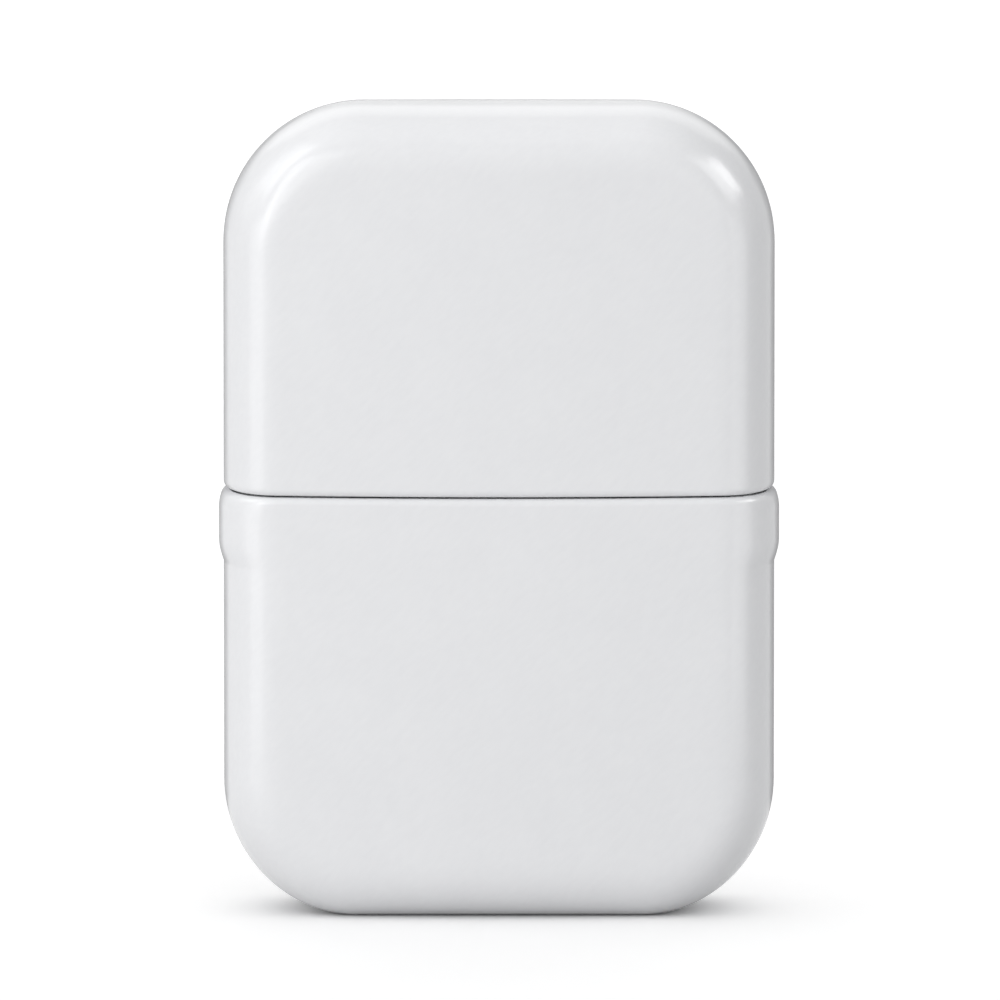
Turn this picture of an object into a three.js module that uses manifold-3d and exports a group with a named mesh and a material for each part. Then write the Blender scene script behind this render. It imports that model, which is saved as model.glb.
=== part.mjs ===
// Collector tin that stands upright: a deep-drawn lid pulls straight up off a deep-drawn base.
// Millimetres, +Z up, front towards -Y, standing on z = 0.
import * as THREE from "three";
import { mergeVertices } from "three/addons/utils/BufferGeometryUtils.js";
import Module from "manifold-3d";

// Outside of the closed tin.
const tinWidth = 74;
const tinDepth = 25;
const tinHeight = 109.4;
const seamHeight = 57.35;
const seamGap = 0.15;
const topCorner = 18.87; // radius of the front outline's upper corners
const footCorner = 17.76; // radius of its lower corners
const edgeReach = 7.77; // reach of the rounded edge into the front
const edgeEase = 0.8; // how gently that edge starts from the front: 1 is an ellipse, less is gentler
const sideFlat = 2; // depth of the flat between the edges on the sides and the top
const footFlat = 12.5; // depth of the same flat on the underside
const footFlatBow = 0.15; // how far its long borders bow in, so that it stands on its four corners
const frontCrown = 2.2; // fall of the front from its middle to its sides

// Drawn sheet and its rolled rim.
const sheet = 0.6;
const hemSpace = 0.3; // space inside the fold of the rim
const hemHeight = 3;
const rimOuterShare = 0.6; // outer round of the rim, as a share of its thickness
const rimInnerShare = 0.25; // inner round of the rim, as a share of its thickness

// Pressed-out swell on each side wall of the base, from the rim down.
const swellOut = 0.65;
const swellHeight = 9.8;
const swellRunOut = 3; // height over which it dies away downwards
const swellShoulder = 2.6; // height over which it rounds off towards the rim

// Band inside the mouth, fixed in the lid.
const neckSheet = 0.5;
const neckClearance = 0.25;
const neckBondGap = 0.3; // glue line between the band and the lid's wall, and over the lid's rim
const neckBondHeight = 6;
const neckLip = 2.5; // band left under each window
const neckLead = 0.4; // how far the bottom edge leans in
const neckLeadHeight = 1;

// Leaf spring on each side of the band, and its rivets.
const springSheet = 0.4;
const springSeat = 0.1; // space between the spring and the band, and under the rivets' heads
const springBend = 2.2; // radius of the spring's bends, on its middle line
const springTail = 1.2;
const springPlay = 0.3; // lift before the spring meets the base's rim
const windowGap = 0.4;
const springWidth = 6;
const rivetFit = 0.1;
const rivetPitchShare = 0.5; // spacing of the two rivets, as a share of the spring's width
const rivetHeadShare = 0.16; // radius of the rivet's head, as a share of the spring's width
const rivetShankShare = 0.5; // radius of the shank, as a share of the head's radius
const rivetDomeShare = 0.4; // height of the domed head, as a share of its radius

// How finely round stretches are divided.
const faceSteps = 5;
const edgeSteps = 6;
const cornerSteps = 4;
const rimSteps = 3;
const runOutSteps = 4;
const shoulderSteps = 3;
const bendSteps = 5;
const rivetSteps = 16;
const domeSteps = 3;

const halfWidth = tinWidth / 2;
const halfDepth = tinDepth / 2;
const topEnd = { corner: topCorner, flat: sideFlat, bow: 0 };
const footEnd = { corner: footCorner, flat: footFlat, bow: footFlatBow };

const rimThickness = 2 * sheet + hemSpace;
const rimOuterRound = rimOuterShare * rimThickness;
const rimInnerRound = rimInnerShare * rimThickness;
const hemSlope = rimThickness - sheet;
const baseRim = seamHeight - seamGap / 2;
const lidRim = seamHeight + seamGap / 2;

const neckInset = rimThickness + neckClearance;
const neckUpperInset = sheet + neckBondGap;
const neckStep = neckInset - neckUpperInset;
const neckShoulder = lidRim + hemHeight - neckClearance + neckBondGap;
const neckTop = neckShoulder + neckStep + neckBondHeight;

const springOuter = sideFaceAt(springWidth / 2, neckInset + neckSheet) - springSeat;
const springMiddle = springOuter - springSheet / 2;
const hemFace = sideFaceAt(springWidth / 2, rimThickness);
const pocketFace = sideFaceAt(springWidth / 2, sheet) + swellOut;
const bowTip = (hemFace + pocketFace) / 2;
const bowOffset = bowTip - springSheet / 2 - springMiddle;
const bowAngle = Math.acos(1 - bowOffset / (2 * springBend));
const bowHalfHeight = 2 * springBend * Math.sin(bowAngle);
const bowCentre = springMiddle + bowOffset - springBend;
const bowCatch = Math.sqrt((springBend + springSheet / 2) ** 2 - (hemFace - bowCentre) ** 2);
const bowHeight = baseRim - hemHeight - springPlay - bowCatch;
const springTop = neckShoulder - springSheet;
const windowTop = bowHeight + bowHalfHeight + windowGap;
const windowBottom = bowHeight - bowHalfHeight - windowGap;
const neckBottom = windowBottom - neckLip;

const rivetHeight = (windowTop + springTop) / 2;
const rivetPitch = rivetPitchShare * springWidth;
const rivetHeadRadius = rivetHeadShare * springWidth;
const rivetShankRadius = rivetShankShare * rivetHeadRadius;
const rivetHeadHeight = rivetDomeShare * rivetHeadRadius;

const wasm = await Module();
wasm.setup();

function enamel() {
  return new THREE.MeshStandardMaterial({ color: 0xe6e7ea, roughness: 0.35, metalness: 0 });
}

function tinplate() {
  return new THREE.MeshStandardMaterial({ color: 0xc3c6ca, roughness: 0.4, metalness: 1 });
}

function springSteel() {
  return new THREE.MeshStandardMaterial({ color: 0x9a9ea6, roughness: 0.3, metalness: 1 });
}

function rivetSteel() {
  return new THREE.MeshStandardMaterial({ color: 0xaeb1b5, roughness: 0.35, metalness: 1 });
}

function toSolid(geometry) {
  const bare = geometry.clone();
  bare.deleteAttribute("normal");
  bare.deleteAttribute("uv");
  const merged = mergeVertices(bare);
  const triVerts = new Uint32Array(merged.index.array);
  const vertProperties = merged.attributes.position.array;
  return new wasm.Manifold(new wasm.Mesh({ numProp: 3, vertProperties, triVerts }));
}

function toGeometry(solid) {
  const mesh = solid.getMesh();
  const geometry = new THREE.BufferGeometry();
  geometry.setAttribute("position", new THREE.BufferAttribute(mesh.vertProperties, 3));
  geometry.setIndex(new THREE.BufferAttribute(mesh.triVerts, 1));
  geometry.computeVertexNormals();
  return geometry;
}

function named(name, geometry, material) {
  const mesh = new THREE.Mesh(geometry, material);
  mesh.name = name;
  return mesh;
}

function quarterTurn(step, steps) {
  return (step / steps) * (Math.PI / 2);
}

// Where the rounded side of a section lies, `y` away from its middle and `inset` inside the outer skin.
function sideFaceAt(y, inset) {
  const rise = Math.max(0, y - sideFlat / 2) / (halfDepth - inset - frontCrown - sideFlat / 2);
  return halfWidth - inset - (edgeReach - inset) * (1 - Math.sqrt(1 - rise ** 2) ** edgeEase);
}

// Half the depth of the flat between the front edge and the back edge, `x` from the middle and `up` from the
// corner's centre towards the closed end. Round the corner the flat of that end turns into the side's.
function halfFlatAt(x, up, end) {
  const cornerCentre = halfWidth - end.corner;
  if (x < cornerCentre) {
    return end.flat / 2 - end.bow * (1 - (x / cornerCentre) ** 2);
  }
  const share = Math.sin(Math.atan2(x - cornerCentre, up)) ** 2;
  return THREE.MathUtils.lerp(end.flat, sideFlat, share) / 2;
}

// Front right quarter of a level section, from the middle of the front to the flat of the side.
// The section lies `inset` inside the outer skin and `fromEnd` away from the closed end.
function quarterSection(end, fromEnd, inset, swell) {
  const reach = edgeReach - inset;
  const radius = end.corner - inset;
  const drop = Math.min(fromEnd - inset, radius);
  const firstAngle = Math.asin(Math.max(0, 1 - drop / reach) ** (1 / edgeEase));
  const pointAt = (x, angle) => {
    const front = frontCrown * (x / halfWidth) ** 2 + inset - halfDepth;
    const y = THREE.MathUtils.lerp(-halfFlatAt(x, radius - drop, end), front, Math.cos(angle));
    const side = THREE.MathUtils.smoothstep(x + inset, halfWidth - edgeReach, halfWidth);
    return new THREE.Vector2(x + swell * side, y);
  };
  const acrossAt = (angle) => {
    const inside = radius - reach * (1 - Math.sin(angle) ** edgeEase);
    return halfWidth - end.corner + Math.sqrt(Math.max(0, inside ** 2 - (radius - drop) ** 2));
  };
  const points = [];
  for (let i = 0; i < faceSteps; i++) {
    points.push(pointAt((acrossAt(firstAngle) * i) / faceSteps, firstAngle));
  }
  for (let i = 0; i <= edgeSteps; i++) {
    const angle = THREE.MathUtils.lerp(firstAngle, Math.PI / 2, i / edgeSteps);
    points.push(pointAt(acrossAt(angle), angle));
  }
  return points;
}

// Closed ring of one level section: front right, back right, back left, front left.
function ring(end, fromEnd, inset, swell, z) {
  const quarter = quarterSection(end, fromEnd, inset, swell);
  const reversed = [...quarter].reverse();
  const at = (sideways, backwards) => (p) => new THREE.Vector3(sideways * p.x, backwards * p.y, z);
  return [
    ...quarter.map(at(1, 1)),
    ...reversed.map(at(1, -1)),
    ...quarter.slice(1).map(at(-1, -1)),
    ...reversed.slice(0, -1).map(at(-1, 1)),
  ];
}

// Faces between rings of equal count. `closed` joins the last ring to the first one.
function ringFaces(ringCount, size, closed) {
  const index = [];
  const pairs = closed ? ringCount : ringCount - 1;
  for (let k = 0; k < pairs; k++) {
    const here = k * size;
    const next = ((k + 1) % ringCount) * size;
    for (let i = 0; i < size; i++) {
      const j = (i + 1) % size;
      index.push(here + i, next + i, here + j);
      index.push(here + j, next + i, next + j);
    }
  }
  return index;
}

// Flat face across one ring, laid as rungs between its front and back points.
function capFaces(first, size, upwards) {
  const last = (size - 2) / 4;
  const back = 2 * last + 1;
  const index = [];
  const quad = (a, b, c, d) => {
    const corners = upwards ? [a, b, c, a, c, d] : [a, c, b, a, d, c];
    index.push(...corners.map((corner) => first + (corner % size)));
  };
  for (let i = 0; i < last; i++) {
    quad(i, i + 1, back - i - 1, back - i);
    quad(size - i - 1, size - i, back + i, back + i + 1);
  }
  return index;
}

function ringGeometry(rings, index) {
  const geometry = new THREE.BufferGeometry().setFromPoints(rings.flat());
  geometry.setIndex(index);
  const merged = mergeVertices(geometry);
  merged.computeVertexNormals();
  return merged;
}

// Distances from the closed end at which the rounded end of a shell gets a section.
function endLevels(end, inset) {
  const reach = edgeReach - inset;
  const radius = end.corner - inset;
  const edgeAngle = Math.acos(1 - reach / radius);
  const levels = [];
  for (let i = 0; i <= edgeSteps; i++) {
    levels.push(inset + reach * (1 - Math.cos(quarterTurn(i, edgeSteps)) ** edgeEase));
  }
  for (let i = 1; i <= cornerSteps; i++) {
    const angle = THREE.MathUtils.lerp(edgeAngle, Math.PI / 2, i / cornerSteps);
    levels.push(inset + radius * (1 - Math.cos(angle)));
  }
  return levels;
}

// Deep-drawn shell with its closed end up at z = 0 and a rolled rim `depth` under it.
function shell(end, depth, swell) {
  const rings = [];
  const add = (fromEnd, inset, out) => rings.push(ring(end, fromEnd, inset, out, -fromEnd));
  const swellStart = depth - swellHeight;
  const swellAt = (level) => {
    const rise = Math.min(1, (level - swellStart) / swellRunOut);
    const fall = Math.min(1, (depth - level) / swellShoulder);
    return swell * Math.sin(quarterTurn(rise, 1)) * Math.sin(quarterTurn(fall, 1));
  };
  const runOut = [];
  for (let i = 0; i <= runOutSteps && swell > 0; i++) {
    runOut.push(swellStart + (swellRunOut * i) / runOutSteps);
  }
  const shoulder = [];
  for (let i = 0; i < shoulderSteps && swell > 0; i++) {
    shoulder.push(depth - THREE.MathUtils.lerp(swellShoulder, rimOuterRound, i / shoulderSteps));
  }
  endLevels(end, 0).forEach((level) => add(level, 0, 0));
  [...runOut, ...shoulder].forEach((level) => add(level, 0, swellAt(level)));
  for (let i = 0; i <= rimSteps; i++) {
    const turn = quarterTurn(i, rimSteps);
    const level = depth - rimOuterRound * (1 - Math.sin(turn));
    add(level, rimOuterRound * (1 - Math.cos(turn)), swellAt(level));
  }
  for (let i = 0; i <= rimSteps; i++) {
    const turn = quarterTurn(i, rimSteps);
    const level = depth - rimInnerRound * (1 - Math.cos(turn));
    add(level, rimThickness - rimInnerRound * (1 - Math.sin(turn)), 0);
  }
  add(depth - hemHeight, rimThickness, 0);
  add(depth - hemHeight - hemSlope, sheet, swell);
  runOut.reverse().forEach((level) => add(level, sheet, swellAt(level)));
  endLevels(end, sheet)
    .reverse()
    .forEach((level) => add(level, sheet, 0));
  const size = rings[0].length;
  const walls = ringFaces(rings.length, size, false);
  const outerEnd = capFaces(0, size, true);
  const innerEnd = capFaces((rings.length - 1) * size, size, false);
  return ringGeometry(rings, [...walls, ...outerEnd, ...innerEnd]);
}

function baseShell() {
  return named("base_shell", shell(footEnd, baseRim, swellOut).rotateX(Math.PI), enamel());
}

function lidShell() {
  return named("lid_shell", shell(topEnd, tinHeight - lidRim, 0).translate(0, 0, tinHeight), enamel());
}

// Rivet hole through the side of the band and the spring, along X.
function cutRivetHole(sideways) {
  const radius = rivetShankRadius + rivetFit;
  const length = 4 * (neckSheet + springSheet);
  const hole = new THREE.CylinderGeometry(radius, radius, length, rivetSteps).rotateZ(Math.PI / 2);
  return toSolid(hole.translate(springMiddle, sideways * (rivetPitch / 2), rivetHeight));
}

function neckBand() {
  const bend = neckSheet * Math.tan(Math.PI / 8);
  const outside = [
    [neckUpperInset, neckTop],
    [neckUpperInset, neckShoulder + neckStep],
    [neckInset, neckShoulder],
    [neckInset, neckBottom + neckLeadHeight],
    [neckInset + neckLead, neckBottom],
  ];
  const inside = [
    [neckUpperInset + neckSheet, neckTop],
    [neckUpperInset + neckSheet, neckShoulder + neckStep + bend],
    [neckInset + neckSheet, neckShoulder + bend],
    [neckInset + neckSheet, neckBottom + neckLeadHeight],
    [neckInset + neckLead + neckSheet, neckBottom],
  ];
  const profile = [...outside, ...inside.reverse()];
  const rings = profile.map(([inset, z]) => ring(topEnd, topEnd.corner, inset, 0, z));
  const band = toSolid(ringGeometry(rings, ringFaces(rings.length, rings[0].length, true)));
  const windowWidth = springWidth + 2 * windowGap;
  const windows = new THREE.BoxGeometry(tinWidth, windowWidth, windowTop - windowBottom);
  windows.translate(0, 0, (windowTop + windowBottom) / 2);
  let cut = band.subtract(toSolid(windows));
  for (const sideways of [-1, 1]) {
    const hole = cutRivetHole(sideways);
    cut = cut.subtract(hole).subtract(hole.rotate(0, 0, 180));
  }
  return named("neck_band", toGeometry(cut), tinplate());
}

// Side profile of the right spring: a flat strip with one bow pushed outwards.
function springProfile() {
  const half = springSheet / 2;
  const bendCentre = springMiddle + springBend;
  const outer = springBend + half;
  const inner = springBend - half;
  const low = bowHeight - bowHalfHeight;
  const high = bowHeight + bowHalfHeight;
  const profile = new THREE.Shape();
  profile.moveTo(springMiddle + half, low - springTail);
  profile.lineTo(springMiddle + half, low);
  profile.absarc(bendCentre, low, inner, Math.PI, Math.PI - bowAngle, true);
  profile.absarc(bowCentre, bowHeight, outer, -bowAngle, bowAngle, false);
  profile.absarc(bendCentre, high, inner, Math.PI + bowAngle, Math.PI, true);
  profile.lineTo(springMiddle + half, springTop);
  profile.lineTo(springMiddle - half, springTop);
  profile.absarc(bendCentre, high, outer, Math.PI, Math.PI + bowAngle, false);
  profile.absarc(bowCentre, bowHeight, inner, bowAngle, -bowAngle, true);
  profile.absarc(bendCentre, low, outer, Math.PI - bowAngle, Math.PI, false);
  profile.lineTo(springMiddle - half, low - springTail);
  return profile;
}

function snapSpring(side, turn) {
  const options = { depth: springWidth, bevelEnabled: false, curveSegments: bendSteps };
  const strip = new THREE.ExtrudeGeometry(springProfile(), options);
  strip.rotateX(Math.PI / 2).translate(0, springWidth / 2, 0);
  let cut = toSolid(strip);
  for (const sideways of [-1, 1]) {
    cut = cut.subtract(cutRivetHole(sideways));
  }
  const spring = named("snap_spring_" + side, toGeometry(cut), springSteel());
  spring.rotation.z = turn;
  return spring;
}

// Domed head inside the spring, shank through spring and band, tail flush with the band's outside.
function rivet(name, turn, sideways) {
  const headSeat = springMiddle - springSheet / 2 - springSeat;
  const tail = halfWidth - neckInset;
  const outline = [];
  for (let i = 0; i <= domeSteps; i++) {
    const turn = quarterTurn(i, domeSteps);
    outline.push(new THREE.Vector2(rivetHeadRadius * Math.sin(turn), -rivetHeadHeight * Math.cos(turn)));
  }
  outline.push(new THREE.Vector2(rivetShankRadius, 0));
  outline.push(new THREE.Vector2(rivetShankRadius, tail - headSeat));
  outline.push(new THREE.Vector2(0, tail - headSeat));
  const geometry = new THREE.LatheGeometry(outline, rivetSteps).rotateZ(-Math.PI / 2);
  geometry.translate(headSeat, sideways * (rivetPitch / 2), rivetHeight);
  const mesh = named(name, geometry, rivetSteel());
  mesh.rotation.z = turn;
  return mesh;
}

function base() {
  const group = new THREE.Group();
  group.add(baseShell());
  return group;
}

function lid() {
  const group = new THREE.Group();
  group.add(lidShell(), neckBand());
  group.add(snapSpring("right", 0), snapSpring("left", Math.PI));
  group.add(rivet("rivet_right_front", 0, -1), rivet("rivet_right_back", 0, 1));
  group.add(rivet("rivet_left_front", Math.PI, 1), rivet("rivet_left_back", Math.PI, -1));
  return group;
}

const tin = new THREE.Group();
tin.add(base(), lid());

export default tin;
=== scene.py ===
"""Looks of an upright collector tin: two drawn cups in white enamel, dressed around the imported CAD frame."""

from math import acos, atan2, copysign, cos, hypot, pi, radians, sin, sqrt

import bmesh
import bpy
from bmesh.types import BMEdge, BMFace, BMVert
from bpy.props import FloatProperty, FloatVectorProperty, PointerProperty
from bpy.types import Operator, Panel, PropertyGroup
from mathutils import Matrix, Vector


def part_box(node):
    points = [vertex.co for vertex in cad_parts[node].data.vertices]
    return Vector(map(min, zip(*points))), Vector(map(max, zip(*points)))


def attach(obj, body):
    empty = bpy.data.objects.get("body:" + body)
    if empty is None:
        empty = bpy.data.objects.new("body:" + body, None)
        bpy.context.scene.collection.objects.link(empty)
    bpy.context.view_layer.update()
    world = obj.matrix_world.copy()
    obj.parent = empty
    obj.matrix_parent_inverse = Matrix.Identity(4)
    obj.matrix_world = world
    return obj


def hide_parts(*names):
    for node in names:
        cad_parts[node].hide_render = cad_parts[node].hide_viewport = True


bl_info = {
    "name": "Collector Tin",
    "version": (1, 0, 0),
    "blender": (4, 5, 0),
    "location": "View3D > Sidebar > Tin",
    "description": "Builds the pieces, finishes and stage of a two-part collector tin",
    "category": "Object",
}

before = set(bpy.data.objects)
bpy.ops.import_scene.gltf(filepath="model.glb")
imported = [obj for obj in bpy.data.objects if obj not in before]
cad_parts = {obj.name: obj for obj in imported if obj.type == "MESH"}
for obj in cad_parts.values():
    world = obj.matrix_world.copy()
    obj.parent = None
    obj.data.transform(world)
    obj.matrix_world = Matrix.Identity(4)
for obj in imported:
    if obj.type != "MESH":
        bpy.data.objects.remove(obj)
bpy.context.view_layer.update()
LID_LOW, LID_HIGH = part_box("lid_shell")
BASE_LOW, BASE_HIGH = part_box("base_shell")
BAND_LOW, BAND_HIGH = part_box("neck_band")
SPRING_LOW, SPRING_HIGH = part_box("snap_spring_right")
RIVET_LOW, RIVET_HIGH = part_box("rivet_right_back")

PIECES = "tin_pieces"  # collection of all finished pieces

MM = 0.001
QUARTER = pi / 2
ALONG_X, ALONG_Y, ALONG_Z = (1, 0, 0), (0, 1, 0), (0, 0, 1)
WELD = 1e-7  # lengths under this count as none
MERGE = 10 * WELD  # points closer than this become one
FACING = 0.5  # a face looks along an axis where that part of its normal is larger
SHARP = 1.0  # edges that turn by a larger angle get a round

# Flat blanks of the cups and the band, before they are formed.
BLANK = 5 * MM  # half thickness
PANEL = 1.999 * BLANK  # front and back panels lie further out than this
FLAT_CUT = 0.9 * BLANK  # place of the cuts that keep the edge's shading off the flat sides
SHADE_MARGIN = 0.8 * MM  # width of the flat ring that keeps the edge's shading off the front
FRONT_STRIPS = 20
PANEL_CUTS = 8
CORNER_STEPS = 32
EDGE_STEPS = 18

# Walls and rims of the cups.
WALL_STEP = 4 * MM
SWELL_STEP = 0.3 * MM
SWELL_LEAD = 3 * SWELL_STEP  # how far under the swell its finer division starts
FOLD_MARGIN = 0.3 * MM  # width of the ring that keeps a fold's shading off the wall
RIM_STEPS = 6

# Band, springs and rivets.
BAND_EASE = 0.1 * MM  # height over which the band's edges are eased
BAND_EDGE = (0.25, 0.75)  # shares of the sheet between which those edges are flat
BAND_SIDE = 0.9 * BAND_HIGH.x  # the band's sides lie further out than this
BEND_STEPS = 10
SPRING_ROUND = 0.07 * MM
SPRING_ROUND_STEPS = 2
RIVET_STEPS = 32
DOME_STEPS = 6
DOME = 0.4  # height of a rivet's head as a share of its radius
TAIL_FOOT = 1.25  # radius of a rivet's tail on the band, in shank radii
TAIL_SHOULDER = 1.2  # the same where its edge turns
TAIL_RISE = 0.7  # height of that place as a share of the tail's
TAIL_ROUND = 0.15  # how far inside the shank's radius the tail's flat starts, in shank radii

# Finishes: scales of the noises, with their stretch and turn, and ranges of roughness.
NOISE_LOW, NOISE_HIGH = 0.3, 0.7  # most values of a noise lie between these
MOTTLE_SCALE = 140
SHEEN_SCALE = 300
STREAK_SCALE = 1600
STREAK_STRETCH = (3, 1, 1)
STREAK_TURN = -pi / 4
ENAMEL_ROUGHNESS = (0.2, 0.24)
ENAMEL_IOR = 1.5
LINE_STRETCH = (1, 1, 30)
LINE_SHADE = 0.82  # brightness of a metal in its rolling lines
LINE_DEPTH = 0.002 * MM
CLOUD_STRETCH = (1, 1, 20)
CLOUD_SIZE = 3  # size of the patches in a metal's gloss, in sizes of its lines
TINPLATE = (2600, (0.24, 0.36))
BAND_TINPLATE = (2600, (0.22, 0.34))
SPRING_STRIP = (3200, (0.18, 0.28))
RIVET_METAL = (3600, (0.25, 0.38))

FLOOR_REACH = 3.0  # from the middle of the floor to its sides
SENSOR = 36

# Soft boxes: bearing from the front (right is positive), height angle, distance, width, height, brightness.
LAMPS = {
    "key_strip": (-44, 18, 1.0, 0.21, 0.8, 3.1),
    "key_panel": (-35, 20, 1.6, 1.0, 1.0, 1.2),
    "key_low": (-45, 2, 1.4, 0.9, 0.3, 1.8),
    "front_panel": (0, 24, 1.6, 2.0, 1.1, 0.28),
    "front_low": (0, 4, 1.6, 2.0, 0.3, 0.6),
    "left_panel": (-95, 25, 1.4, 0.8, 0.9, 0.3),
    "back_panel": (180, 37, 1.6, 2.0, 0.8, 0.75),
    "back_low": (180, 4, 1.6, 2.0, 0.3, 0.9),
    "ceiling": (0, 90, 1.3, 1.6, 1.6, 0.4),
}
# Boxes that only the gloss sees, for the highlights along the rounded edges.
GLINTS = {
    "left_glint": (-68, 36, 1.0, 0.2, 0.65, 3.1),
    "left_side_glint": (-86, 39, 1.0, 0.42, 0.6, 1.7),
    "right_glint": (62, 28, 1.0, 0.42, 0.42, 3.7),
    "right_side_glint": (85, 32, 1.0, 0.36, 0.36, 6.5),
    "left_low_glint": (-62, 0, 0.15, 0.07, 0.1, 1.2),
    "right_low_glint": (57, 0, 0.15, 0.08, 0.1, 1.1),
}
# Lamps that light the tin and leave the floor to the rest, so that no long shadow falls to the right.
TIN_LAMPS = ("key_strip", "key_panel", "key_low")


def length(name, description, default):
    return FloatProperty(name=name, description=description, default=default, unit="LENGTH", precision=5)


def number(name, description, default):
    return FloatProperty(name=name, description=description, default=default)


def colour(name, description, default):
    return FloatVectorProperty(
        name=name, description=description, default=default, size=3, min=0, max=1, subtype="COLOR"
    )


class TinShape(PropertyGroup):
    """Outside of the tin and its drawn sheet."""

    width: length("Width", "Width over the lid's sides", LID_HIGH.x - LID_LOW.x)
    depth: length("Depth", "Depth over front and back", LID_HIGH.y - LID_LOW.y)
    height: length("Height", "Height of the closed tin", LID_HIGH.z)
    base_rim: length("Base rim", "Height of the base's rim", BASE_HIGH.z)
    lid_rim: length("Lid rim", "Height of the lid's rim", LID_LOW.z)
    top_corner: length("Upper corners", "Radius of the front outline's upper corners", 18.87 * MM)
    foot_corner: length("Lower corners", "Radius of the front outline's lower corners", 17.76 * MM)
    edge: length("Edge reach", "Reach of the rounded edge into the front", 7.77 * MM)
    edge_ease: number("Edge ease", "Start of the edge at the front: 1 is an ellipse, less is gentler", 0.8)
    crown: length("Crown", "Fall of the front from its middle to its sides", 2.2 * MM)
    side_flat: length("Side flat", "Depth of the flat on the sides and the top", 2 * MM)
    foot_flat: length("Foot flat", "Depth of the flat on the underside", 12.5 * MM)
    foot_bow: length("Foot bow", "How far the long borders of that flat bow in", 0.15 * MM)
    sheet: length("Sheet", "Thickness of the enamelled sheet", 0.6 * MM)
    rim: length("Rim thickness", "Thickness of the folded rim", 1.5 * MM)
    rim_outside: length("Rim outer round", "Radius of the rim's outer edge", 0.9 * MM)
    rim_inside: length("Rim inner round", "Radius of the rim's inner edge", 0.375 * MM)
    enamel_end: length("Enamel end", "How far round the rim the enamel goes", 0.7 * MM)
    hem: length("Hem height", "Height of the fold inside the rim", 3 * MM)
    swell: length("Swell", "How far each side of the base swells out", BASE_HIGH.x - LID_HIGH.x)
    swell_height: length("Swell height", "Height of the swell under the rim", 9.8 * MM)
    swell_run_out: length("Swell run-out", "Height over which the swell dies away downwards", 3 * MM)
    swell_shoulder: length("Swell shoulder", "Height over which the swell rounds off to the rim", 2.6 * MM)


class TinClosure(PropertyGroup):
    """Band, springs and rivets inside the mouth."""

    band_sheet: length("Band sheet", "Thickness of the band", 0.5 * MM)
    band_inset: length("Band inset", "How far the band lies inside the tin's outside", 1.75 * MM)
    band_bond: length("Bonded inset", "The same where it is bonded into the lid", 0.9 * MM)
    band_bond_height: length("Bonded height", "Height of the bonded stretch", 6 * MM)
    band_lead: length("Lead-in", "How far the band's lower edge leans in", 0.4 * MM)
    band_lead_height: length("Lead-in height", "Height of the leaning edge", 1 * MM)
    window_gap: length("Window gap", "Room round each spring in its window", 0.4 * MM)
    spring_sheet: length("Spring sheet", "Thickness of the spring strip", 0.4 * MM)
    spring_bend: length("Spring bend", "Radius of the spring's bends", 2.2 * MM)
    spring_tail: length("Spring tail", "Straight end under the bow", 1.2 * MM)
    rivet_head: length("Rivet head", "Radius of a rivet's head", (RIVET_HIGH.y - RIVET_LOW.y) / 2)
    rivet_shank: length("Rivet shank", "Radius of a rivet's shank", 0.48 * MM)
    rivet_proud: length("Rivet tail", "How far a rivet's tail stands off the band", 0.05 * MM)


class TinFinish(PropertyGroup):
    """Colours and sheen of the tin's materials."""

    enamel: colour("Enamel", "White of the enamel", (0.795, 0.80, 0.815))
    enamel_shade: colour("Enamel shade", "White in the mottling's darker places", (0.77, 0.775, 0.792))
    tinplate: colour("Tinplate", "Bare tinplate inside", (0.76, 0.77, 0.78))
    spring: colour("Spring", "Polished spring strip", (0.48, 0.49, 0.52))
    rivet: colour("Rivet", "Plain steel of the rivets", (0.55, 0.56, 0.58))
    peel: length("Peel", "Height of the enamel's fine ripple", 0.005 * MM)


class TinStage(PropertyGroup):
    """Floor, dark card, even light and camera."""

    floor: colour("Floor", "Colour of the floor as it is seen", (0.95,) * 3)
    floor_bounce: colour("Floor bounce", "Colour of the floor for the light it throws back", (0.68,) * 3)
    floor_lift: colour("Floor lift", "Colour added to the floor as it is seen", (0.27,) * 3)
    card: colour("Card", "Colour of the dark card behind the tin", (0.22,) * 3)
    card_width: length("Card width", "Width of the dark card", 160 * MM)
    card_height: length("Card height", "Height of the dark card", 115 * MM)
    card_behind: length("Card distance", "From the tin's middle back to the dark card", 60 * MM)
    camera_height: FloatProperty(
        name="Camera height",
        description="Angle of the camera over the floor",
        default=radians(8.3),
        subtype="ANGLE",
    )
    camera_distance: length("Camera distance", "From the camera to the tin's front", 3.0)
    view_width: length("View width", "Width of the picture at the tin's front", 133.9 * MM)
    aim_height: length("Aim height", "Height of the picture's middle on the front", 57.2 * MM)
    aim_side: length("Aim side", "Sideways place of the picture's middle", 0.13 * MM)
    surroundings: number("Surroundings", "Strength of the even light all round", 0.79)


def smooth_share(low, high, value):
    part = min(1, max(0, (value - low) / (high - low)))
    return part * part * (3 - 2 * part)


def between(start, end, part):
    return start + (end - start) * part


def corner_of(shape, footed):
    return shape.foot_corner if footed else shape.top_corner


def half_flat(shape, x, level, footed):
    """Half the depth of the flat between front and back edge: the side's, or towards the foot the foot's."""
    if not footed:
        return shape.side_flat / 2
    centre = shape.width / 2 - shape.foot_corner
    if x < centre:
        return shape.foot_flat / 2 - shape.foot_bow * (1 - (x / centre) ** 2)
    turn = atan2(x - centre, max(0, shape.foot_corner - level))
    return between(shape.foot_flat, shape.side_flat, sin(turn) ** 2) / 2


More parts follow.
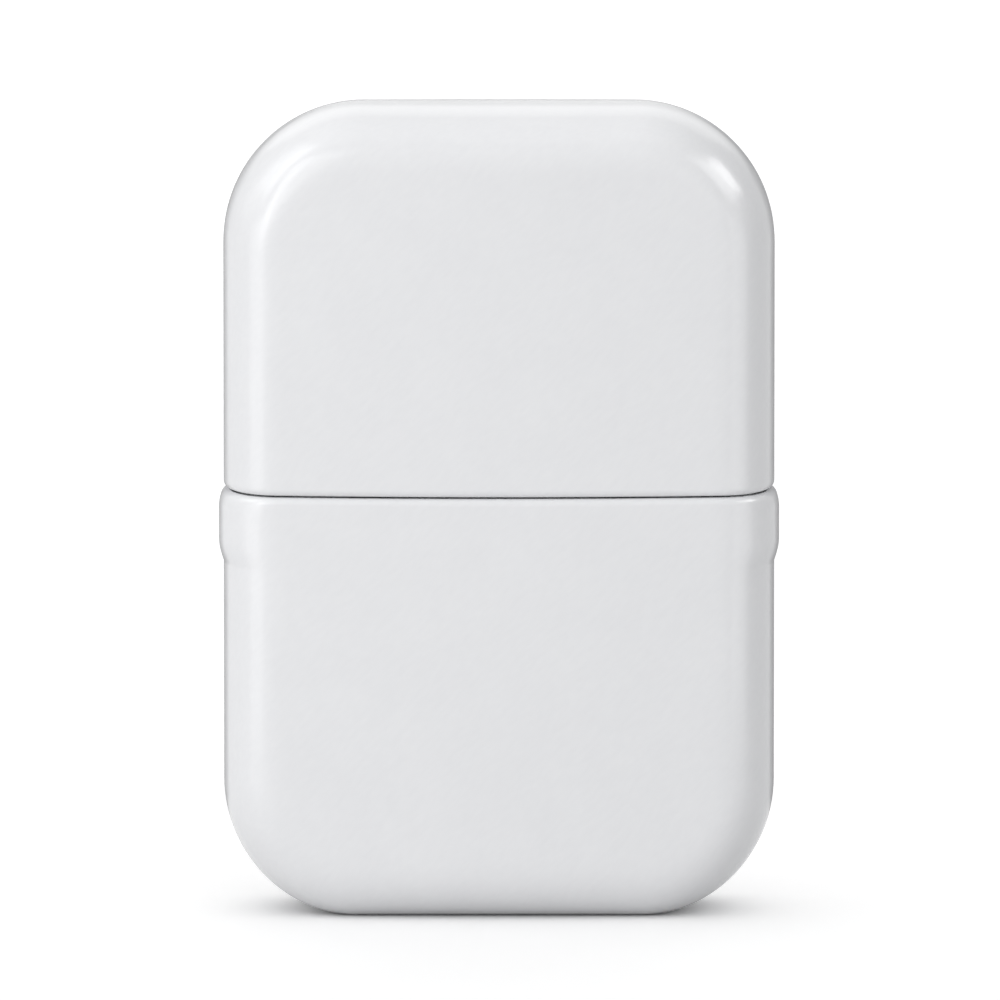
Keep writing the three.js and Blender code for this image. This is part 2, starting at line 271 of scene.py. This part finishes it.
def from_outline(shape, x, level, corner):
    """Distance of a point inside the front outline, and the way inwards from there."""
    centre = shape.width / 2 - corner
    if level >= corner:
        return shape.width / 2 - x, (-1, 0)
    if x <= centre:
        return level, (0, 1)
    across = x - centre
    up = corner - level
    reach = max(hypot(across, up), WELD)
    return corner - reach, (-across / reach, up / reach)


def swell_at(shape, level):
    """How far the side of the base stands out at a height."""
    start = shape.base_rim - shape.swell_height
    rise = min(1, max(0, (level - start) / shape.swell_run_out))
    fall = min(1, max(0, (shape.base_rim - level) / shape.swell_shoulder))
    return shape.swell * sin(rise * QUARTER) * sin(fall * QUARTER)


def formed(shape, point, inset, swelled, footed):
    """Where a point of the flat blank lies once the sheet is drawn, with the closed end at level 0."""
    x, level = abs(point.x), point.z
    inside, inwards = from_outline(shape, x, level, corner_of(shape, footed))
    move = inset * max(0, 1 - inside / shape.edge)
    x += inwards[0] * move
    level += inwards[1] * move
    front = shape.depth / 2 - inset - shape.crown * (2 * x / shape.width) ** 2
    flat = half_flat(shape, x, level, footed)
    arch = abs(point.y) / BLANK - 1
    y = flat * (1 + arch) if arch < 0 else between(flat, front, arch)
    side = smooth_share(shape.width / 2 - shape.edge, shape.width / 2, x + inset)
    x += swelled * side * swell_at(shape, level)
    return Vector((copysign(x, point.x), copysign(y, point.y), level))


def of_kind(geometry, kind):
    return [item for item in geometry if isinstance(item, kind)]


def everything(bm):
    return bm.verts[:] + bm.edges[:] + bm.faces[:]


def touching(faces):
    """Faces with their edges and points, each once and always in the same order."""
    edges = dict.fromkeys(edge for face in faces for edge in face.edges)
    verts = dict.fromkeys(vert for face in faces for vert in face.verts)
    return list(verts) + list(edges) + list(faces)


def at_level(edge, level):
    return all(abs(vert.co.z - level) < WELD for vert in edge.verts)


def cut(bm, geometry, place, normal, clear=False):
    found = bmesh.ops.bisect_plane(
        bm, geom=geometry, dist=WELD, plane_co=place, plane_no=normal, clear_outer=clear
    )
    return found["geom_cut"]


def rounded(bm, edges, radius, steps):
    bmesh.ops.bevel(
        bm,
        geom=edges,
        offset=radius,
        offset_type="OFFSET",
        segments=steps,
        profile=0.5,
        affect="EDGES",
        material=-1,
    )


def blank_skin(shape, mouth, corner):
    """Flat blank of one cup, open at its mouth: a rounded outline, front and back stepped up to the arch."""
    bm = bmesh.new()
    bm.verts.layers.float.new("inset")
    bm.verts.layers.float.new("swelled")
    top = mouth + corner
    size = Matrix.Diagonal((shape.width, 2 * BLANK, top, 1))
    bmesh.ops.create_cube(bm, size=1, matrix=Matrix.Translation((0, 0, top / 2)) @ size)
    corners = [e for e in bm.edges if at_level(e, 0) and e.verts[0].co.x == e.verts[1].co.x]
    rounded(bm, corners, corner, CORNER_STEPS)
    centre = shape.width / 2 - corner
    for k in range(1, FRONT_STRIPS):
        cut(bm, everything(bm), (between(-centre, centre, k / FRONT_STRIPS), 0, 0), ALONG_X)
    step_edges(bm, shape)
    divide_panels(bm, centre, shape.width / 2 - shape.edge - SHADE_MARGIN)
    for way in (-1, 1):
        cut(bm, everything(bm), (0, way * FLAT_CUT, 0), ALONG_Y)
    return bm


def step_edges(bm, shape):
    """Insets front and back in steps, each a little further in and out, as the rounded edge goes."""
    sides = [[f for f in bm.faces if f.normal.y * way > FACING] for way in (-1, 1)]
    for k in range(EDGE_STEPS):
        here, there = (QUARTER * (1 - i / EDGE_STEPS) for i in (k, k + 1))
        reach = shape.edge * (sin(here) ** shape.edge_ease - sin(there) ** shape.edge_ease)
        inset_sides(bm, sides, reach, BLANK * (cos(there) - cos(here)))
    inset_sides(bm, sides, SHADE_MARGIN, 0)


def inset_sides(bm, sides, thickness, depth):
    for faces in sides:
        bmesh.ops.inset_region(
            bm, faces=faces, thickness=thickness, depth=depth, use_boundary=True, use_even_offset=True
        )


def on_panel(face):
    return abs(face.normal.y) > FACING and all(abs(vert.co.y) > PANEL for vert in face.verts)


def divide_panels(bm, centre, border):
    """Upright cuts in front and back beside their strips, closer together towards the edge."""
    for k in range(PANEL_CUTS):
        x = between(centre, border, sin(QUARTER * k / PANEL_CUTS))
        for way in (-1, 1):
            panels = [f for f in bm.faces if on_panel(f)]
            cut(bm, touching(panels), (way * x, 0, 0), ALONG_X)


def wall_levels(shape, mouth, corner, swelled):
    """Heights at which the straight walls are divided."""
    levels = []
    level = corner
    while level < mouth:
        levels.append(level)
        level += WALL_STEP
    if swelled:
        level = shape.base_rim - shape.swell_height - SWELL_LEAD
        while level < mouth:
            levels.append(level)
            level += SWELL_STEP
    return levels


def inner_mouth(shape, mouth):
    return mouth - shape.hem - (shape.rim - shape.sheet)


def rim_rings(shape, mouth):
    """Level, inset and swell share of each ring round the folded rim, from outside to inside."""
    rings = []
    for k in range(1, RIM_STEPS + 1):
        turn = QUARTER * k / RIM_STEPS
        level = mouth - shape.rim_outside * (1 - sin(turn))
        rings.append((level, shape.rim_outside * (1 - cos(turn)), 1))
    for k in range(RIM_STEPS + 1):
        turn = QUARTER * k / RIM_STEPS
        level = mouth - shape.rim_inside * (1 - cos(turn))
        rings.append((level, shape.rim - shape.rim_inside * (1 - sin(turn)), 0))
    rings.append((mouth - shape.rim_inside - FOLD_MARGIN, shape.rim, 0))
    rings.append((mouth - shape.hem + FOLD_MARGIN, shape.rim, 0))
    rings.append((mouth - shape.hem, shape.rim, 0))
    rings.append((inner_mouth(shape, mouth), shape.sheet, 1))
    return rings


def drawn_cup(shape, mouth, swelled):
    """A drawn cup, closed end at level 0: outer skin, folded rim and inner skin as one closed sheet."""
    corner = corner_of(shape, swelled)
    bm = blank_skin(shape, mouth, corner)
    inset = bm.verts.layers.float["inset"]
    swell = bm.verts.layers.float["swelled"]
    inside_level = inner_mouth(shape, mouth)
    outside_level = mouth - shape.rim_outside
    levels = wall_levels(shape, outside_level - FOLD_MARGIN, corner, swelled)
    levels += [inside_level - FOLD_MARGIN, inside_level, outside_level - FOLD_MARGIN]
    for level in levels:
        cut(bm, everything(bm), (0, 0, level), ALONG_Z)
    cut(bm, everything(bm), (0, 0, outside_level), ALONG_Z, clear=True)
    inner = bmesh.ops.duplicate(bm, geom=everything(bm))["geom"]
    inner_faces = of_kind(inner, BMFace)
    for vert in of_kind(inner, BMVert):
        vert[inset] = shape.sheet
    for face in inner_faces:
        face.material_index = 1
    above = [f for f in inner_faces if f.calc_center_median().z > inside_level]
    bmesh.ops.delete(bm, geom=above, context="FACES")
    for vert in bm.verts:
        vert[swell] = swelled
    edge_ring = [e for e in bm.edges if e.is_boundary and at_level(e, outside_level)]
    for level, rim_inset, keeps in rim_rings(shape, mouth):
        ring = bmesh.ops.extrude_edge_only(bm, edges=edge_ring)["geom"]
        for face in of_kind(ring, BMFace):
            face.material_index = int(rim_inset > shape.enamel_end)
        edge_ring = [e for e in of_kind(ring, BMEdge) if e.is_boundary]
        for vert in of_kind(ring, BMVert):
            vert.co.z = level
            vert[inset] = rim_inset
            vert[swell] = swelled * keeps
    for vert in bm.verts:
        vert.co = formed(shape, vert.co, vert[inset], vert[swell], swelled)
    bmesh.ops.remove_doubles(bm, verts=bm.verts[:], dist=MERGE)
    return bm


def new_object(bm, name):
    mesh = bpy.data.meshes.new(name)
    bm.to_mesh(mesh)
    bm.free()
    made = bpy.data.objects.new(name, mesh)
    bpy.context.scene.collection.objects.link(made)
    return made


def finished(bm, name, materials, body, slot, *nodes):
    """Turns a bmesh into a smooth piece that rides on a body and stands for its CAD nodes."""
    bmesh.ops.recalc_face_normals(bm, faces=bm.faces[:])
    for face in bm.faces:
        face.smooth = True
    piece = new_object(bm, name)
    pieces = bpy.data.collections.get(PIECES) or bpy.data.collections.new(PIECES)
    pieces.objects.link(piece)
    for material in materials:
        piece.data.materials.append(material)
    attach(piece, body)
    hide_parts(*nodes)


class Nodes:
    """Short way to add and join shader nodes of one material."""

    def __init__(self, name):
        self.material = bpy.data.materials.get(name) or bpy.data.materials.new(name)
        self.material.use_nodes = True
        self.tree = self.material.node_tree
        self.tree.nodes.clear()
        self.coordinates = self.add("ShaderNodeTexCoord").outputs["Object"]

    def add(self, kind, **settings):
        node = self.tree.nodes.new(kind)
        for key, value in settings.items():
            setattr(node, key, value)
        return node

    def join(self, output, node, socket):
        self.tree.links.new(output, node.inputs[socket])

    def noise(self, scale, detail, stretch=None, turn=0.0):
        node = self.add("ShaderNodeTexNoise")
        node.inputs["Scale"].default_value = scale
        node.inputs["Detail"].default_value = detail
        place = self.coordinates
        if stretch:
            mapping = self.add("ShaderNodeMapping", vector_type="TEXTURE")
            mapping.inputs["Rotation"].default_value = (0, turn, 0)
            mapping.inputs["Scale"].default_value = stretch
            self.join(place, mapping, "Vector")
            place = mapping.outputs["Vector"]
        self.join(place, node, "Vector")
        return node.outputs["Fac"]

    def average(self, first, second):
        node = self.add("ShaderNodeMix")
        node.inputs["Factor"].default_value = 0.5
        self.join(first, node, "A")
        self.join(second, node, "B")
        return node.outputs["Result"]

    def ranged(self, value, low, high):
        node = self.add("ShaderNodeMapRange")
        limits = {"From Min": NOISE_LOW, "From Max": NOISE_HIGH, "To Min": low, "To Max": high}
        for socket, limit in limits.items():
            node.inputs[socket].default_value = limit
        self.join(value, node, "Value")
        return node.outputs["Result"]

    def tinted(self, value, dark, light):
        node = self.add("ShaderNodeMix", data_type="RGBA")
        node.inputs["A"].default_value = (*dark, 1)
        node.inputs["B"].default_value = (*light, 1)
        self.join(value, node, "Factor")
        return node.outputs["Result"]

    def bumped(self, height, distance):
        node = self.add("ShaderNodeBump")
        node.inputs["Distance"].default_value = distance
        node.inputs["Strength"].default_value = 1
        self.join(height, node, "Height")
        return node.outputs["Normal"]

    def surface(self, tint, roughness, normal, **constants):
        shader = self.add("ShaderNodeBsdfPrincipled")
        for socket, value in constants.items():
            shader.inputs[socket].default_value = value
        self.join(tint, shader, "Base Color")
        self.join(roughness, shader, "Roughness")
        self.join(normal, shader, "Normal")
        self.join(shader.outputs["BSDF"], self.add("ShaderNodeOutputMaterial"), "Surface")
        return self.material


def white_enamel(finish):
    """Stoved white enamel: soft mottling, satin gloss and a fine ripple that runs aslant."""
    nodes = Nodes("white_enamel")
    streaks = nodes.noise(STREAK_SCALE, 1, STREAK_STRETCH, STREAK_TURN)
    mottle = nodes.ranged(nodes.average(nodes.noise(MOTTLE_SCALE, 3), streaks), 0, 1)
    paint = nodes.tinted(mottle, finish.enamel_shade, finish.enamel)
    roughness = nodes.ranged(nodes.noise(SHEEN_SCALE, 2), *ENAMEL_ROUGHNESS)
    ripple = nodes.bumped(streaks, finish.peel)
    return nodes.surface(paint, roughness, ripple, IOR=ENAMEL_IOR)


def rolled_metal(name, tint, grain, roughness_range):
    """Bare sheet metal with fine rolling lines."""
    nodes = Nodes(name)
    lines = nodes.noise(grain, 3, LINE_STRETCH)
    shade = tuple(LINE_SHADE * part for part in tint)
    paint = nodes.tinted(nodes.ranged(lines, 0, 1), shade, tint)
    roughness = nodes.ranged(nodes.noise(grain / CLOUD_SIZE, 3, CLOUD_STRETCH), *roughness_range)
    scratch = nodes.bumped(lines, LINE_DEPTH)
    return nodes.surface(paint, roughness, scratch, Metallic=1)


def cup_coats(finish):
    """Enamel outside and bare tinplate inside."""
    return [white_enamel(finish), rolled_metal("lacquered_tinplate", finish.tinplate, *TINPLATE)]


class TIN_OT_base(Operator):
    """Draw the base cup with its rolled rim and side swells"""

    bl_idname = "tin.base"
    bl_label = "Base cup"

    def execute(self, context):
        shape = context.scene.tin_shape
        bm = drawn_cup(shape, shape.base_rim, 1)
        coats = cup_coats(context.scene.tin_finish)
        finished(bm, "base_cup", coats, "base", "white_enamel", "base_shell")
        return {"FINISHED"}


class TIN_OT_lid(Operator):
    """Draw the lid cup with its rolled rim"""

    bl_idname = "tin.lid"
    bl_label = "Lid cup"

    def execute(self, context):
        shape = context.scene.tin_shape
        bm = drawn_cup(shape, shape.height - shape.lid_rim, 0)
        for vert in bm.verts:
            vert.co.z = shape.height - vert.co.z
        coats = cup_coats(context.scene.tin_finish)
        finished(bm, "lid_cup", coats, "lid", "white_enamel", "lid_shell")
        return {"FINISHED"}


class TIN_OT_band(Operator):
    """Roll the band that is bonded into the lid and slides into the base"""

    bl_idname = "tin.band"
    bl_label = "Neck band"

    def execute(self, context):
        closure = context.scene.tin_closure
        bm = neck_sleeve(context.scene.tin_shape, closure)
        cut_windows(bm, closure)
        coat = rolled_metal("band_tinplate", context.scene.tin_finish.tinplate, *BAND_TINPLATE)
        finished(bm, "neck_sleeve", [coat], "lid", "tinplate", "neck_band")
        return {"FINISHED"}


def sleeve_profile(closure):
    """Inset and height of each ring of the band, round its closed section."""
    sheet, inset, bond = closure.band_sheet, closure.band_inset, closure.band_bond
    step = inset - bond
    shoulder = BAND_HIGH.z - closure.band_bond_height - step
    bend = sheet * (sqrt(2) - 1)
    low = BAND_LOW.z
    lead = low + closure.band_lead_height
    outside = [
        (bond, BAND_HIGH.z - BAND_EASE),
        (bond, shoulder + step),
        (inset, shoulder),
        (inset, lead),
        (inset + closure.band_lead, low + BAND_EASE),
    ]
    inside = [
        (inset + closure.band_lead + sheet, low + BAND_EASE),
        (inset + sheet, lead),
        (inset + sheet, shoulder + bend),
        (bond + sheet, shoulder + step + bend),
        (bond + sheet, BAND_HIGH.z - BAND_EASE),
    ]
    foot = [(inset + closure.band_lead + part * sheet, low) for part in BAND_EDGE]
    head = [(bond + part * sheet, BAND_HIGH.z) for part in reversed(BAND_EDGE)]
    return outside + foot + inside + head


def neck_sleeve(shape, closure):
    """The band without its windows: one ring of the lid's outline, drawn on round the band's section."""
    bm = blank_skin(shape, BAND_HIGH.z, shape.top_corner)
    inset = bm.verts.layers.float["inset"]
    middle = (BAND_LOW.z + BAND_HIGH.z) / 2
    edge_ring = of_kind(cut(bm, everything(bm), (0, 0, middle), ALONG_Z), BMEdge)
    keep = {vert for edge in edge_ring for vert in edge.verts}
    bmesh.ops.delete(bm, geom=[v for v in bm.verts if v not in keep], context="VERTS")
    first, *others = sleeve_profile(closure)
    for vert in bm.verts:
        vert[inset], vert.co.z = first
    for ring in [*others, first]:
        grown = bmesh.ops.extrude_edge_only(bm, edges=edge_ring)["geom"]
        verts = of_kind(grown, BMVert)
        edge_ring = [e for e in of_kind(grown, BMEdge) if all(v in verts for v in e.verts)]
        for vert in verts:
            vert[inset], vert.co.z = ring
    for vert in bm.verts:
        vert.co = formed(shape, vert.co, vert[inset], 0, False)
    bmesh.ops.remove_doubles(bm, verts=bm.verts[:], dist=MERGE)
    return bm


def cut_windows(bm, closure):
    """Opens the window behind each spring and joins the edges of its two skins."""
    half = (SPRING_HIGH.y - SPRING_LOW.y) / 2 + closure.window_gap
    low, high = window_heights(closure)
    planes = [((0, y, 0), ALONG_Y) for y in (-half, half)] + [((0, 0, z), ALONG_Z) for z in (low, high)]
    for way in (-1, 1):
        for place, normal in planes:
            side = [f for f in bm.faces if all(v.co.x * way > BAND_SIDE for v in f.verts)]
            cut(bm, touching(side), place, normal)
        inside = []
        for face in bm.faces:
            at = face.calc_center_median()
            if at.x * way > 0 and abs(at.y) < half and low < at.z < high:
                inside.append(face)
        bmesh.ops.delete(bm, geom=inside, context="FACES")
        border = [e for e in bm.edges if e.is_boundary]
        bmesh.ops.bridge_loops(bm, edges=border)


def bow_sizes(closure):
    """Angle and half height of the spring's bow, and the height of its middle."""
    offset = SPRING_HIGH.x - SPRING_LOW.x - closure.spring_sheet
    angle = acos(1 - offset / (2 * closure.spring_bend))
    half = 2 * closure.spring_bend * sin(angle)
    return angle, half, SPRING_LOW.z + closure.spring_tail + half


def window_heights(closure):
    _, half, middle = bow_sizes(closure)
    return middle - half - closure.window_gap, middle + half + closure.window_gap


class TIN_OT_springs(Operator):
    """Bend the snap spring of each side"""

    bl_idname = "tin.springs"
    bl_label = "Snap springs"

    def execute(self, context):
        coat = rolled_metal("spring_strip", context.scene.tin_finish.spring, *SPRING_STRIP)
        for side, turn in (("right", 0), ("left", pi)):
            bm = snap_spring(context.scene.tin_closure)
            turned_round(bm, turn)
            finished(bm, f"spring_leaf_{side}", [coat], "lid", "spring_steel", f"snap_spring_{side}")
        return {"FINISHED"}


def turned_round(bm, turn):
    bmesh.ops.rotate(bm, verts=bm.verts[:], cent=(0, 0, 0), matrix=Matrix.Rotation(turn, 3, "Z"))


def snap_spring(closure):
    """Strip with one bow: its outer face drawn as a line, widened and thickened."""
    sheet, bend = closure.spring_sheet, closure.spring_bend
    angle, half, middle = bow_sizes(closure)
    line = SPRING_LOW.x + sheet
    bend_centre = line - sheet / 2 + bend
    bow_centre = SPRING_HIGH.x - sheet / 2 - bend
    low, high = middle - half, middle + half
    bm = bmesh.new()
    end = bmesh.ops.create_vert(bm, co=(line, 0, SPRING_LOW.z))["vert"][0]
    end = drawn_on(bm, end, (line, 0, low))
    end = swung_on(bm, end, (bend_centre, 0, low), angle)
    end = swung_on(bm, end, (bow_centre, 0, middle), -2 * angle)
    end = swung_on(bm, end, (bend_centre, 0, high), angle)
    drawn_on(bm, end, (line, 0, SPRING_HIGH.z))
    bmesh.ops.translate(bm, verts=bm.verts[:], vec=(0, SPRING_LOW.y, 0))
    wide = bmesh.ops.extrude_edge_only(bm, edges=bm.edges[:])["geom"]
    bmesh.ops.translate(bm, verts=of_kind(wide, BMVert), vec=(0, SPRING_HIGH.y - SPRING_LOW.y, 0))
    for face in bm.faces:
        face.normal_update()
    if sum(face.normal.x for face in bm.faces) < 0:
        bmesh.ops.reverse_faces(bm, faces=bm.faces[:])
    bmesh.ops.solidify(bm, geom=bm.faces[:], thickness=sheet)
    bmesh.ops.recalc_face_normals(bm, faces=bm.faces[:])
    sharp = [e for e in bm.edges if len(e.link_faces) == 2 and e.calc_face_angle() > SHARP]
    rounded(bm, sharp, SPRING_ROUND, SPRING_ROUND_STEPS)
    return bm


def drawn_on(bm, vert, place):
    grown = bmesh.ops.extrude_vert_indiv(bm, verts=[vert])["verts"][0]
    grown.co = place
    return grown


def swung_on(bm, vert, centre, angle):
    swung = bmesh.ops.spin(
        bm, geom=[vert], cent=centre, axis=ALONG_Y, angle=angle, steps=BEND_STEPS, use_duplicate=False
    )
    return of_kind(swung["geom_last"], BMVert)[0]


class TIN_OT_rivets(Operator):
    """Turn the four rivets that hold the springs"""

    bl_idname = "tin.rivets"
    bl_label = "Rivets"

    def execute(self, context):
        coat = rolled_metal("rivet_metal", context.scene.tin_finish.rivet, *RIVET_METAL)
        for side, turn in (("right", 0), ("left", pi)):
            for place in ("front", "back"):
                node = f"rivet_{side}_{place}"
                low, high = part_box(node)
                bm = rivet(context.scene.tin_closure)
                turned_round(bm, turn)
                middle = (0, (low.y + high.y) / 2, (low.z + high.z) / 2)
                bmesh.ops.translate(bm, verts=bm.verts[:], vec=middle)
                finished(bm, f"rivet_pin_{side}_{place}", [coat], "lid", "rivet_steel", node)
        return {"FINISHED"}


def rivet(closure):
    """Domed head, shank and flat tail, turned about the X axis on the right side of the tin."""
    head, shank = closure.rivet_head, closure.rivet_shank
    dome_height = DOME * head
    seat = RIVET_LOW.x + dome_height
    tail = RIVET_HIGH.x
    bm = bmesh.new()
    end = bmesh.ops.create_vert(bm, co=(RIVET_LOW.x, 0, 0))["vert"][0]
    for k in range(1, DOME_STEPS + 1):
        turn = QUARTER * k / DOME_STEPS
        end = drawn_on(bm, end, (seat - dome_height * cos(turn), 0, head * sin(turn)))
    for x, radius in (
        (seat, shank),
        (tail, shank),
        (tail, TAIL_FOOT * shank),
        (tail + TAIL_RISE * closure.rivet_proud, TAIL_SHOULDER * shank),
        (tail + closure.rivet_proud, shank - TAIL_ROUND * shank),
        (tail + closure.rivet_proud, 0),
    ):
        end = drawn_on(bm, end, (x, 0, radius))
    bmesh.ops.spin(
        bm,
        geom=bm.verts[:] + bm.edges[:],
        cent=(0, 0, 0),
        axis=ALONG_X,
        angle=2 * pi,
        steps=RIVET_STEPS,
        use_merge=True,
        use_duplicate=False,
    )
    bmesh.ops.remove_doubles(bm, verts=bm.verts[:], dist=MERGE)
    return bm


class TIN_OT_stage(Operator):
    """Lay the floor, stand the dark card, hang the lamps and set up the camera"""

    bl_idname = "tin.stage"
    bl_label = "Stage"

    def execute(self, context):
        stage = context.scene.tin_stage
        lay_floor(stage)
        stand_card(stage)
        light_surroundings(context.scene, stage)
        hang_lamps()
        set_camera(context.scene, stage)
        context.scene.view_settings.view_transform = "Standard"
        return {"FINISHED"}


def lay_floor(stage):
    bm = bmesh.new()
    bmesh.ops.create_grid(bm, x_segments=1, y_segments=1, size=FLOOR_REACH)
    floor = new_object(bm, "floor")
    floor.data.materials.append(floor_paint(stage))


def seen_directly(tree):
    """1 for what the camera sees, straight or in a gloss, 0 for the light that lands on things."""
    path = tree.nodes.new("ShaderNodeLightPath")
    seen = path.outputs["Is Camera Ray"]
    for ray in ("Is Glossy Ray", "Is Transmission Ray"):
        either = tree.nodes.new("ShaderNodeMath")
        either.operation = "MAXIMUM"
        tree.links.new(seen, either.inputs[0])
        tree.links.new(path.outputs[ray], either.inputs[1])
        seen = either.outputs[0]
    return seen


def matt_paint(tree, seen, bounced, shown):
    """Matt paint of one colour for the light it throws back and another as it is seen."""
    paint = tree.nodes.new("ShaderNodeMix")
    paint.data_type = "RGBA"
    paint.inputs["A"].default_value = (*bounced, 1)
    paint.inputs["B"].default_value = (*shown, 1)
    tree.links.new(seen, paint.inputs["Factor"])
    matt = tree.nodes.new("ShaderNodeBsdfDiffuse")
    tree.links.new(paint.outputs["Result"], matt.inputs["Color"])
    return matt.outputs["BSDF"]


def floor_paint(stage):
    """White to the eye and to mirrors, grey to the light that bounces off it."""
    material = bpy.data.materials.new("studio_floor")
    material.use_nodes = True
    tree = material.node_tree
    tree.nodes.clear()
    seen = seen_directly(tree)
    both = tree.nodes.new("ShaderNodeAddShader")
    tree.links.new(matt_paint(tree, seen, stage.floor_bounce, stage.floor), both.inputs[0])
    tree.links.new(matt_paint(tree, seen, (0, 0, 0), stage.floor_lift), both.inputs[1])
    tree.links.new(both.outputs[0], tree.nodes.new("ShaderNodeOutputMaterial").inputs["Surface"])
    return material


def stand_card(stage):
    """Dark card behind the tin that only its gloss sees, which draws the thin dark line along its outline."""
    bm = bmesh.new()
    bmesh.ops.create_grid(bm, x_segments=1, y_segments=1, size=0.5)
    bmesh.ops.scale(bm, verts=bm.verts[:], vec=(stage.card_width, stage.card_height, 1))
    bmesh.ops.rotate(bm, verts=bm.verts[:], cent=(0, 0, 0), matrix=Matrix.Rotation(QUARTER, 3, "X"))
    bmesh.ops.translate(bm, verts=bm.verts[:], vec=(0, stage.card_behind, stage.card_height / 2))
    card = new_object(bm, "edge_card")
    for ray in ("camera", "diffuse", "transmission", "shadow", "volume_scatter"):
        setattr(card, f"visible_{ray}", False)
    material = bpy.data.materials.new("dark_card")
    material.use_nodes = True
    shader = material.node_tree.nodes["Principled BSDF"]
    shader.inputs["Base Color"].default_value = (*stage.card, 1)
    shader.inputs["Specular IOR Level"].default_value = 0
    card.data.materials.append(material)


def light_surroundings(scene, stage):
    """Even light all round, white where it is seen."""
    world = scene.world or bpy.data.worlds.new("studio")
    scene.world = world
    world.use_nodes = True
    tree = world.node_tree
    tree.nodes.clear()
    strength = tree.nodes.new("ShaderNodeMix")
    strength.inputs["A"].default_value = stage.surroundings
    strength.inputs["B"].default_value = 1
    tree.links.new(seen_directly(tree), strength.inputs["Factor"])
    glow = tree.nodes.new("ShaderNodeBackground")
    tree.links.new(strength.outputs["Result"], glow.inputs["Strength"])
    tree.links.new(glow.outputs[0], tree.nodes.new("ShaderNodeOutputWorld").inputs[0])


def hang_lamps():
    target = Vector((0, 0, LID_HIGH.z / 2))
    pieces = bpy.data.collections[PIECES]
    for name, (bearing, rise, distance, width, height, brightness) in {**LAMPS, **GLINTS}.items():
        lamp = bpy.data.lights.new(name, "AREA")
        lamp.shape = "RECTANGLE"
        lamp.size = width
        lamp.size_y = height
        lamp.energy = pi * width * height * brightness
        turn, tilt = radians(bearing), radians(rise)
        away = Vector((sin(turn) * cos(tilt), -cos(turn) * cos(tilt), sin(tilt)))
        holder = bpy.data.objects.new(name, lamp)
        holder.location = target + distance * away
        holder.rotation_euler = (-away).to_track_quat("-Z", "Y").to_euler()
        holder.visible_camera = False
        holder.visible_diffuse = name in LAMPS
        if name in TIN_LAMPS:
            holder.light_linking.receiver_collection = pieces
        bpy.context.scene.collection.objects.link(holder)


def set_camera(scene, stage):
    lens = bpy.data.cameras.new("camera")
    lens.sensor_width = SENSOR
    lens.lens = SENSOR * stage.camera_distance / stage.view_width
    holder = bpy.data.objects.new("camera", lens)
    scene.collection.objects.link(holder)
    aim = Vector((stage.aim_side, LID_LOW.y, stage.aim_height))
    back = Vector((0, -cos(stage.camera_height), sin(stage.camera_height)))
    holder.location = aim + stage.camera_distance * back
    holder.rotation_euler = (-back).to_track_quat("-Z", "Y").to_euler()
    scene.camera = holder


class TIN_PT_panel(Panel):
    """Lists the steps that build the tin"""

    bl_idname = "TIN_PT_panel"
    bl_label = "Collector Tin"
    bl_space_type = "VIEW_3D"
    bl_region_type = "UI"
    bl_category = "Tin"

    def draw(self, context):
        for operator in OPERATORS:
            self.layout.operator(operator.bl_idname)


OPERATORS = (TIN_OT_base, TIN_OT_lid, TIN_OT_band, TIN_OT_springs, TIN_OT_rivets, TIN_OT_stage)
GROUPS = {"tin_shape": TinShape, "tin_closure": TinClosure, "tin_finish": TinFinish, "tin_stage": TinStage}


def register():
    for kind in (*GROUPS.values(), *OPERATORS, TIN_PT_panel):
        bpy.utils.register_class(kind)
    for name, group in GROUPS.items():
        setattr(bpy.types.Scene, name, PointerProperty(type=group))


def unregister():
    for name in GROUPS:
        delattr(bpy.types.Scene, name)
    for kind in (TIN_PT_panel, *reversed(OPERATORS), *GROUPS.values()):
        bpy.utils.unregister_class(kind)


def main():
    register()
    bpy.ops.tin.base()
    bpy.ops.tin.lid()
    bpy.ops.tin.band()
    bpy.ops.tin.springs()
    bpy.ops.tin.rivets()
    bpy.ops.tin.stage()


if __name__ == "__main__":
    main()
